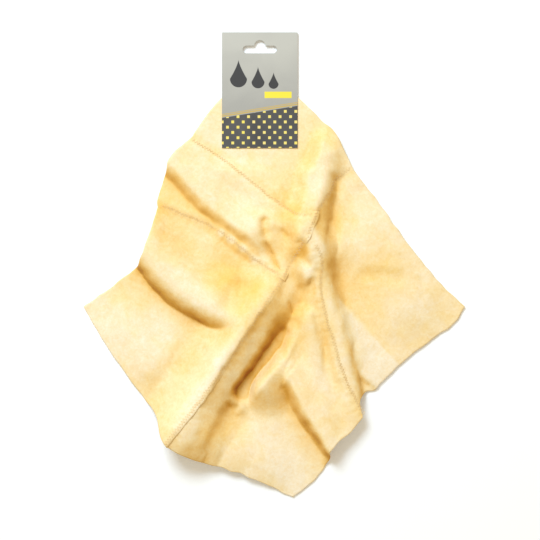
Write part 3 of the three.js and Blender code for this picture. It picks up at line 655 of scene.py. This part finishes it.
# thread through the laps, in mm
stitch = {
    "radius": 0.18,
    "pitch": 3.0,  # one zig and one zag
    "near": 1.3,  # from the lap's edge to the first holes
    "far": 4.5,
    # shares of a stitch from hole to hole, and how far the thread stands over the leather there
    "stations": ((0, -0.17), (0.18, 0.05), (0.5, 0.16), (0.82, 0.05)),
    "sides": 6,
    "clear": 8.0,  # from a crossing seam
    "turn": 1.5,  # left at either side of a corner
    "cutEnd": 2.0,  # left at the leather's edge
    "alongReach": 0.5,  # the seam's direction is taken over this far either way
    "slopeReach": 0.8,  # and the leather's slope
}


def ontoPanel(name, xy, offset):
    # points on a panel's upper side, or under its lower side for a negative offset
    dx, dy = stitch["slopeReach"] * np.eye(2)
    place = drape(xy)
    normal = unit(np.cross(drape(xy + dx) - drape(xy - dx), drape(xy + dy) - drape(xy - dy)))
    place = place + normal * raised(name, xy)[:, None]
    full = cut["thickness"]
    out = np.where(offset > 0, 2 * halfThickness(name, xy) - full / 2 + offset, -full / 2 + offset)
    return place + normal * out[:, None], normal


def stitchRun(curveName, inward, start, end):
    # zigzag over one seam curve: flat points, and the thread's middle over the leather
    line = curves[curveName]
    length = lengthsAlong(line)[-1]
    half = stitch["pitch"] / 2
    reach = stitch["alongReach"]
    count = int((length - start - end) / half)
    points, offsets = [], []
    for k in range(count + 1):
        for part, lift in stitch["stations"]:
            along = start + (k + part) * half
            if along > length - end:
                break
            zig = part if k % 2 == 0 else 1 - part
            depth = mix((stitch["near"], stitch["far"]), zig)
            places = np.array([along - reach, along, along + reach])
            back, here, ahead = atShares(line, np.clip(places / length, 0, 1))
            d = unit(ahead - back)
            points.append(here + inward * np.array([-d[1], d[0]]) * depth)
            offsets.append(stitch["radius"] + lift)
    return np.array(points), np.array(offsets)


def tube(path, normals, radius, sides):
    ahead = unit(np.gradient(path, axis=0))
    sideways = unit(np.cross(ahead, normals))
    up = np.cross(sideways, ahead)
    angles = 2 * np.pi * np.arange(sides) / sides
    rings = (path[:, None] + radius * (np.cos(angles)[None, :, None] * up[:, None]
                                       + np.sin(angles)[None, :, None] * sideways[:, None]))
    points = rings.reshape(-1, 3)
    faces = []
    for i in range(len(path) - 1):
        for k in range(sides):
            a, b = i * sides + k, i * sides + (k + 1) % sides
            faces.append((a, b, b + sides, a + sides))
    return points, faces


def threadPiece(name, runs, above):
    # on the upper panels, or under the lower ones
    path, normals = [], []
    for curveName, upper, lower, inward, start, end, backwards in runs:
        xy, offset = stitchRun(curveName, inward, start, end)
        if backwards:
            xy, offset = xy[::-1], offset[::-1]
        place, normal = ontoPanel(upper if above else lower, xy, offset if above else -offset)
        path.append(place)
        normals.append(normal if above else -normal)
    sides = stitch["sides"]
    points, faces = tube(np.vstack(path), np.vstack(normals), stitch["radius"], sides)
    caps = [tuple(range(sides - 1, -1, -1)), tuple(range(len(points) - sides, len(points)))]
    return newPiece("sewn_" + name, points * mm, faces + caps)


clear, cutEnd, turn = stitch["clear"], stitch["cutEnd"], stitch["turn"]
# seam curve, upper panel, lower panel, side of the curve with the lap, clear start and end, backwards
seamRuns = {
    "long_seam": [("longLower", "left_panel", "bottom_panel", -1, turn, cutEnd, True),
                  ("longMiddle", "upper_left_panel", "bottom_panel", 1, turn, turn, False),
                  ("longKnot", "upper_left_panel", "right_panel", 1, turn, turn, False),
                  ("longUpper", "top_panel", "right_panel", 1, turn, cutEnd, False)],
    "left_seam": [("leftSeam", "upper_left_panel", "left_panel", -1, clear, cutEnd, False)],
    "upper_seam": [("upperSeam", "upper_left_panel", "top_panel", 1, clear, cutEnd, False)],
    "right_seam": [("rightSeam", "right_panel", "bottom_panel", 1, clear, cutEnd, False)],
}
threads = {}
for seam, runs in seamRuns.items():
    for kind in ("needle", "bobbin"):
        name = seam + "_" + kind + "_thread"
        threads[name] = threadPiece(name, runs, kind == "needle")
print("threads:", sum(len(t.data.polygons) for t in threads.values()), "faces")


def feed(node, values):
    # a socket is linked and anything else is set, a colour may come without its alpha
    for key, value in values.items():
        socket = node.inputs[key]
        if isinstance(value, bpy.types.NodeSocket):
            node.id_data.links.new(value, socket)
            continue
        if socket.type == "RGBA" and len(value) == 3:
            value = value + (1,)
        socket.default_value = value


def addNode(tree, kind, values=None, **settings):
    made = tree.nodes.new("ShaderNode" + kind)
    for key, value in settings.items():
        setattr(made, key, value)
    feed(made, values or {})
    return made.outputs


def calc(operation, *values, clamp=False):
    # like the others below, it adds a node to the tree of its socket
    tree = next(value.id_data for value in values if isinstance(value, bpy.types.NodeSocket))
    inputs = dict(enumerate(values))
    return addNode(tree, "Math", inputs, operation=operation, use_clamp=clamp)[0]


plus, minus = partial(calc, "ADD"), partial(calc, "SUBTRACT")
times, timesPlus = partial(calc, "MULTIPLY"), partial(calc, "MULTIPLY_ADD")


def vectorCalc(operation, vector, values):
    inputs = {0: vector, **values}
    return addNode(vector.id_data, "VectorMath", inputs, operation=operation)[0]


def blended(first, second, share):
    # this share of the first value and the rest of the second
    return timesPlus(first, share, times(second, 1 - share))


def mapped(value, low, high, first=0.0, last=1.0):
    inputs = {0: value, 1: low, 2: high, 3: first, 4: last}
    return addNode(value.id_data, "MapRange", inputs)[0]


def painted(under, over, mask, blend="MIX"):
    inputs = {0: mask, 6: under, 7: over}
    return addNode(mask.id_data, "Mix", inputs, data_type="RGBA", blend_type=blend)[2]


def noise(vector, scale, detail, roughness=0.5, distortion=0.0):
    inputs = {"Vector": vector, "Scale": scale, "Detail": detail,
              "Roughness": roughness, "Distortion": distortion}
    return addNode(vector.id_data, "TexNoise", inputs)[0]


def bumpFrom(height, strength, distance, normal=None):
    inputs = {"Height": height, "Strength": strength, "Distance": distance}
    if normal is not None:
        inputs["Normal"] = normal
    return addNode(height.id_data, "Bump", inputs)[0]


def objectPlace(tree):
    return addNode(tree, "TexCoord")["Object"]


def vertexValue(tree, key):
    return addNode(tree, "Attribute", attribute_name=key)["Fac"]


def newGroup(name, inputs, outputs):
    # inputs: name, socket type and default value, outputs: name and socket type
    tree = bpy.data.node_groups.new(name, "ShaderNodeTree")
    for key, kind, value in inputs:
        socket = tree.interface.new_socket(key, in_out="INPUT", socket_type="NodeSocket" + kind)
        if value is not None:
            socket.default_value = value
    for key, kind in outputs:
        tree.interface.new_socket(key, in_out="OUTPUT", socket_type="NodeSocket" + kind)
    return tree, tree.nodes.new("NodeGroupInput").outputs, tree.nodes.new("NodeGroupOutput")


def placeGroup(group, vector, values):
    inputs = {"Vector": vector, **values}
    return addNode(vector.id_data, "Group", inputs, node_tree=group)


def newMaterial(name):
    material = bpy.data.materials.new(name)
    material.use_nodes = True
    return material, material.node_tree, material.node_tree.nodes["Principled BSDF"]


fibreForm = {
    "detail": 3.0,
    "roughness": 0.6,
    "distortion": 0.6,
    "wideScale": 0.22,  # wider clumps among the fibres
    "wideDetail": 2.0,
    "fineShare": 0.6,
    "toneRange": (0.35, 0.65),
}


def fibreGroup(form):
    # fine fibres: a height for bump and a tone from 0 to 1
    inputs = [("Vector", "Vector", None), ("Scale", "Float", 900.0), ("Stretch", "Float", 1.0)]
    outputs = [("Height", "Float"), ("Tone", "Float")]
    tree, given, out = newGroup("fineFibre", inputs, outputs)
    squeezed = addNode(tree, "CombineXYZ", {0: 1.0, 1: given["Stretch"], 2: 1.0})[0]
    vector = vectorCalc("MULTIPLY", given["Vector"], {1: squeezed})
    wideScale = times(given["Scale"], form["wideScale"])
    fine = noise(vector, given["Scale"], form["detail"], form["roughness"], form["distortion"])
    wide = noise(vector, wideScale, form["wideDetail"])
    both = blended(fine, wide, form["fineShare"])
    feed(out, {"Height": both, "Tone": mapped(both, *form["toneRange"])})
    return tree


mottleForm = {"detail": 4.0, "roughness": 0.55, "distortion": 0.5, "gain": 2.4}


def mottleGroup(form):
    # slow cloudy change of tone from 0 to 1, about 0.5 on average
    inputs = [("Vector", "Vector", None), ("Scale", "Float", 20.0), ("Contrast", "Float", 1.0)]
    tree, given, out = newGroup("cloudyMottle", inputs, [("Tone", "Float")])
    slow = noise(given["Vector"], given["Scale"], form["detail"], form["roughness"], form["distortion"])
    gain = times(given["Contrast"], form["gain"])
    feed(out, {"Tone": timesPlus(minus(slow, 0.5), gain, 0.5, clamp=True)})
    return tree


fineFibre = fibreGroup(fibreForm)
cloudyMottle = mottleGroup(mottleForm)

chamoisLook = {
    # ramp from the lit tone to the painted shade of the deepest hollows
    "ramp": [(0.0, (0.96, 0.878, 0.705)), (0.07, (0.95, 0.825, 0.545)), (0.18, (0.92, 0.69, 0.315)),
             (0.31, (0.765, 0.472, 0.105)), (0.45, (0.41, 0.16, 0.03))],
    "mottleShift": 0.14,  # how far the clouds shift the ramp
    "paintedSlopeShadeShift": 0.17,  # how far the painted shade on sides that face away from the key lamp shifts it
    "seamShift": 0.04,  # and the seams
    "paleShift": 0.08,  # and pale places, the other way
    "clouds": {"Scale": 16.0, "Contrast": 1.1},
    "spots": {"Scale": 75.0, "Contrast": 1.0},
    "cloudShare": 0.6,  # of the clouds against the spots
    "yellow": (0.975, 0.8, 0.4),
    "yellowShare": 0.5,
    "speck": (0.95, 0.86, 0.70),  # the deeper specks against the paler ones
    "roughness": 0.82,
    "napRoughness": 0.12,  # added by the nap
    "sheen": 0.06,
    "sheenTint": (1.0, 0.93, 0.8),
    "specular": 0.2,
    "nap": {"Scale": 1100.0, "Stretch": 1.0},
    "napDepth": 0.0005,
    "grain": {"Scale": 340.0, "Stretch": 1.0},
    "grainDepth": 0.0006,
    "bump": 0.6,
}


def makeChamois(look):
    material, tree, bsdf = newMaterial("chamois")
    place = objectPlace(tree)
    clouds = placeGroup(cloudyMottle, place, look["clouds"])["Tone"]
    spots = placeGroup(cloudyMottle, place, look["spots"])["Tone"]
    nap = placeGroup(fineFibre, place, look["nap"])
    grain = placeGroup(fineFibre, place, look["grain"])
    cloudy = minus(blended(clouds, spots, look["cloudShare"]), 0.5)
    yellow = vertexValue(tree, "yellow")
    shift = times(cloudy, look["mottleShift"])
    # painted shade on sides that face away from the key lamp
    shift = timesPlus(vertexValue(tree, "paintedSlopeShade"), look["paintedSlopeShadeShift"], shift)
    shift = timesPlus(vertexValue(tree, "stitching"), look["seamShift"], shift)
    shift = timesPlus(calc("MINIMUM", yellow, 0.0), look["paleShift"], shift)
    # painted shade: the hidden share of the sky, with the shifts, picks the colour on the ramp
    depth = plus(vertexValue(tree, "hollow"), shift, clamp=True)
    ramp = addNode(tree, "ValToRGB", {0: depth})[0]
    stops = ramp.node.color_ramp.elements
    while len(stops) < len(look["ramp"]):
        stops.new(0.5)
    for stop, (position, colour) in zip(stops, look["ramp"]):
        stop.position = position
        stop.color = colour + (1,)
    # the yellow attribute carries painted shade and painted light as well as the skin's tone
    yellowing = times(plus(yellow, cloudy), look["yellowShare"], clamp=True)
    yellowed = painted(ramp, look["yellow"], yellowing, "MULTIPLY")
    speck = painted(look["speck"], (1, 1, 1), grain["Tone"])
    colour = vectorCalc("MULTIPLY", yellowed, {1: speck})
    coarse = bumpFrom(grain["Height"], look["bump"], look["grainDepth"])
    feed(bsdf, {
        "Base Color": colour,
        "Roughness": timesPlus(nap["Tone"], look["napRoughness"], look["roughness"]),
        "Normal": bumpFrom(nap["Height"], look["bump"], look["napDepth"], coarse),
        "Sheen Weight": look["sheen"],
        "Sheen Tint": look["sheenTint"],
        "Specular IOR Level": look["specular"],
    })
    return material


chamois = makeChamois(chamoisLook)
for name, piece in panels.items():
    piece.data.materials.append(chamois)
    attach(piece, "leather_and_back")
    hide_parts(name)
print("chamois made")

threadLook = {
    "colour": (0.89, 0.72, 0.41),
    "dark": (0.76, 0.55, 0.26),
    "twist": {"Scale": 900.0, "Stretch": 3.0},
    "roughness": 0.8,
    "bump": 0.5,
    "depth": 0.0002,
}


def makeThread(look):
    material, tree, bsdf = newMaterial("sewingThread")
    fibre = placeGroup(fineFibre, objectPlace(tree), look["twist"])
    feed(bsdf, {
        "Base Color": painted(look["dark"], look["colour"], fibre["Tone"]),
        "Roughness": look["roughness"],
        "Normal": bumpFrom(fibre["Height"], look["bump"], look["depth"]),
    })
    return material


sewingThread = makeThread(threadLook)
for name, piece in threads.items():
    piece.data.materials.append(sewingThread)
    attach(piece, "leather_and_back")
    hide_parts(name)
print("thread made")

boardLook = {
    "colour": (0.72, 0.71, 0.67),
    "fibre": {"Scale": 700.0, "Stretch": 0.35},
    "shade": (0.93, 1.03),
    "roughness": 0.75,
    "bump": 0.3,
    "depth": 0.0001,
}
# the printed face, in m from its lower left corner
printLook = {
    "grey": (0.5, 0.5, 0.46),
    "greyLow": (0.36, 0.36, 0.34),
    "fade": (0.03, 0.105),  # heights between which the grey gets lighter
    "clouds": {"Scale": 22.0, "Contrast": 0.8},
    "cloudFade": 0.5,
    "charcoal": (0.035, 0.036, 0.04),
    "charcoalLight": (0.1, 0.1, 0.105),
    "gold": (0.55, 0.40, 0.12),
    "yellow": (0.86, 0.74, 0.05),
    "cream": (0.86, 0.70, 0.36),
    "slant": 0.16,  # rise of the dark field's edge over its run
    "fieldLow": 0.03,
    "rules": [(0.0016, 0.0007), (0.0034, 0.0004)],  # over the dark field: middle and half width
    "pitch": 0.0105,  # between diamonds
    "patternShift": 0.2,
    "diamond": 0.26,
    "diamondSoft": 0.02,
    # drops: middle, radius and length of the point
    "drops": [(0.0165, 0.069, 0.0085, 0.019), (0.036, 0.066, 0.0065, 0.015),
              (0.0515, 0.064, 0.005, 0.0115)],
    "dropPoint": 1.35,  # over 1 the point is hollow-sided
    "thinnest": 1e-6,
    "bar": (0.056, 0.053, 0.0135, 0.0032),  # middle, half width and half height
    "soft": 0.00012,
    "roughness": 0.42,
    "bareRoughness": 0.72,
    "bump": 0.2,
    "depth": 0.0001,
}


def boardGroup(look):
    # uncoated card with short fibres
    inputs = [("Vector", "Vector", None), ("Color", "Color", look["colour"] + (1,))]
    outputs = [("Color", "Color"), ("Height", "Float")]
    tree, given, out = newGroup("fibrousBoard", inputs, outputs)
    fibre = placeGroup(fineFibre, given["Vector"], look["fibre"])
    shade = mapped(fibre["Tone"], 0.0, 1.0, *look["shade"])
    colour = vectorCalc("SCALE", given["Color"], {"Scale": shade})
    feed(out, {"Color": colour, "Height": fibre["Height"]})
    return tree


fibrousBoard = boardGroup(boardLook)


def makeBoard(look):
    material, tree, bsdf = newMaterial("plainBoard")
    board = placeGroup(fibrousBoard, objectPlace(tree), {"Color": look["colour"]})
    feed(bsdf, {
        "Base Color": board["Color"],
        "Roughness": look["roughness"],
        "Normal": bumpFrom(board["Height"], look["bump"], look["depth"]),
    })
    return material


def below(value, limit, soft):
    # 1 where a value is under a limit
    return mapped(minus(value, limit), -soft, soft, 1.0, 0.0)


def offFrom(value, middle):
    return calc("ABSOLUTE", minus(value, middle))


def offCentre(value, pitch):
    # distance from the middle of a repeat, as a share of it
    return offFrom(calc("FRACT", calc("DIVIDE", value, pitch)), 0.5)


def dropMask(x, y, drop, look):
    # a round drop with a point over it
    cx, cy, radius, tip = drop
    dy = minus(y, cy)
    low = calc("POWER", times(calc("MINIMUM", dy, 0.0), -1 / radius), 2.0)
    roundHalf = calc("POWER", minus(1.0, low, clamp=True), 0.5)
    high = calc("DIVIDE", calc("MAXIMUM", dy, 0.0), tip)
    pointed = calc("POWER", minus(1.0, high, clamp=True), look["dropPoint"])
    width = times(calc("MINIMUM", roundHalf, pointed), radius)
    inside = calc("GREATER_THAN", width, look["thinnest"])
    return times(below(offFrom(x, cx), width, look["soft"]), inside)


def makePrint(look, bare):
    material, tree, bsdf = newMaterial("printedBoard")
    coords = addNode(tree, "TexCoord")
    place, soft = coords["Object"], look["soft"]
    apart = addNode(tree, "SeparateXYZ", {0: place})
    x, y = (minus(apart[k], float(cardLow[k]) * mm) for k in range(2))
    clouds = placeGroup(cloudyMottle, place, look["clouds"])["Tone"]
    uneven = times(minus(clouds, 0.5), look["cloudFade"])
    fade = plus(mapped(y, *look["fade"]), uneven, clamp=True)
    colour = painted(look["greyLow"], look["grey"], fade)
    for drop in look["drops"]:
        colour = painted(colour, look["charcoal"], dropMask(x, y, drop, look))
    cx, cy, halfWidth, halfHeight = look["bar"]
    barAcross = below(offFrom(x, cx), halfWidth, soft)
    barUp = below(offFrom(y, cy), halfHeight, soft)
    colour = painted(colour, look["yellow"], times(barAcross, barUp))

    # the dark field with its diamonds, and the lines over it
    over = minus(y, timesPlus(x, look["slant"], look["fieldLow"]))
    dark = painted(look["charcoal"], look["charcoalLight"], clouds)
    light = painted(look["cream"], look["yellow"], clouds)
    falling = offCentre(plus(x, y), look["pitch"])
    shifted = plus(y, look["patternShift"])
    rising = offCentre(minus(shifted, x), look["pitch"])
    diamonds = below(plus(falling, rising), look["diamond"], look["diamondSoft"])
    colour = painted(colour, painted(dark, light, diamonds), below(over, 0.0, soft))
    for middle, half in look["rules"]:
        colour = painted(colour, look["gold"], below(offFrom(over, middle), half, soft))

    # only the upper face is printed
    facing = addNode(tree, "SeparateXYZ", {0: coords["Normal"]})[2]
    face = calc("GREATER_THAN", facing, 0.5)
    board = placeGroup(fibrousBoard, place, {"Color": bare["colour"]})
    feed(bsdf, {
        "Base Color": painted(board["Color"], colour, face),
        "Roughness": mapped(face, 0.0, 1.0, look["bareRoughness"], look["roughness"]),
        "Normal": bumpFrom(board["Height"], look["bump"], look["depth"]),
    })
    return material


stapleLook = {
    "colour": (0.6, 0.6, 0.59),
    "roughness": 0.2,
    "scratchRoughness": 0.2,  # added by the scratches
    "scratches": {"Scale": 2600.0, "Stretch": 6.0},
}


def makeSteel(look):
    material, tree, bsdf = newMaterial("stapleSteel")
    drawn = placeGroup(fineFibre, objectPlace(tree), look["scratches"])["Tone"]
    feed(bsdf, {
        "Base Color": look["colour"],
        "Metallic": 1.0,
        "Roughness": timesPlus(drawn, look["scratchRoughness"], look["roughness"]),
    })
    return material


cardMaterials = {"card_front_leaf": makePrint(printLook, boardLook), "card_back_leaf": makeBoard(boardLook)}
cardMaterials["left_staple"] = cardMaterials["right_staple"] = makeSteel(stapleLook)
for name, material in cardMaterials.items():
    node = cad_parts[name]
    node.data.materials.clear()
    node.data.materials.append(material)
print("card and staples coloured")

# floor, light and camera, in m
studio = {
    "floor": (0.88, 0.92, 0.96),
    "floorHalf": 3.0,
    "floorRoughness": 0.9,
    "floorGlow": 0.14,  # not for diffuse rays, so that the floor looks white and lights nothing
    "fillColour": (0.93, 0.77, 0.53),
    "fill": 0.66,
    "keyColour": (0.74, 0.87, 1.0),
    "key": 52.0,
    "keySize": 0.9,
    "keyPlace": (-0.72, 1.38, 1.7),
    "lens": 120.0,
    "cameraPlace": (-0.004, -0.005, 1.8),
}
far = studio["floorHalf"]
floorCorners = [(-far, -far, 0), (far, -far, 0), (far, far, 0), (-far, far, 0)]
floorPiece = newPiece("floor", floorCorners, [(0, 1, 2, 3)])
floorPaint, floorTree, floorBsdf = newMaterial("paleFloor")
rays = addNode(floorTree, "LightPath")
seen = plus(rays["Is Camera Ray"], rays["Is Glossy Ray"], clamp=True)
seen = plus(seen, rays["Is Transmission Ray"], clamp=True)
feed(floorBsdf, {
    "Base Color": studio["floor"],
    "Roughness": studio["floorRoughness"],
    "Emission Color": (1, 1, 1),
    "Emission Strength": times(seen, studio["floorGlow"]),
})
floorPiece.data.materials.append(floorPaint)

world = bpy.data.worlds.new("studio")
bpy.context.scene.world = world
world.use_nodes = True
background = world.node_tree.nodes["Background"]
feed(background, {"Color": studio["fillColour"], "Strength": studio["fill"]})

keyLight = bpy.data.lights.new("keyLamp", "AREA")
keyLight.color = studio["keyColour"]
keyLight.size = studio["keySize"]
keyLight.energy = studio["key"]
keyLamp = addObject("keyLamp", keyLight)
keyLamp.location = studio["keyPlace"]
keyLamp.rotation_euler = (-Vector(studio["keyPlace"])).to_track_quat("-Z", "Y").to_euler()

camera = bpy.data.cameras.new("camera")
camera.lens = studio["lens"]
cameraHolder = addObject("camera", camera)
cameraHolder.location = studio["cameraPlace"]
bpy.context.scene.camera = cameraHolder
bpy.context.scene.view_settings.view_transform = "Standard"
print("studio set")
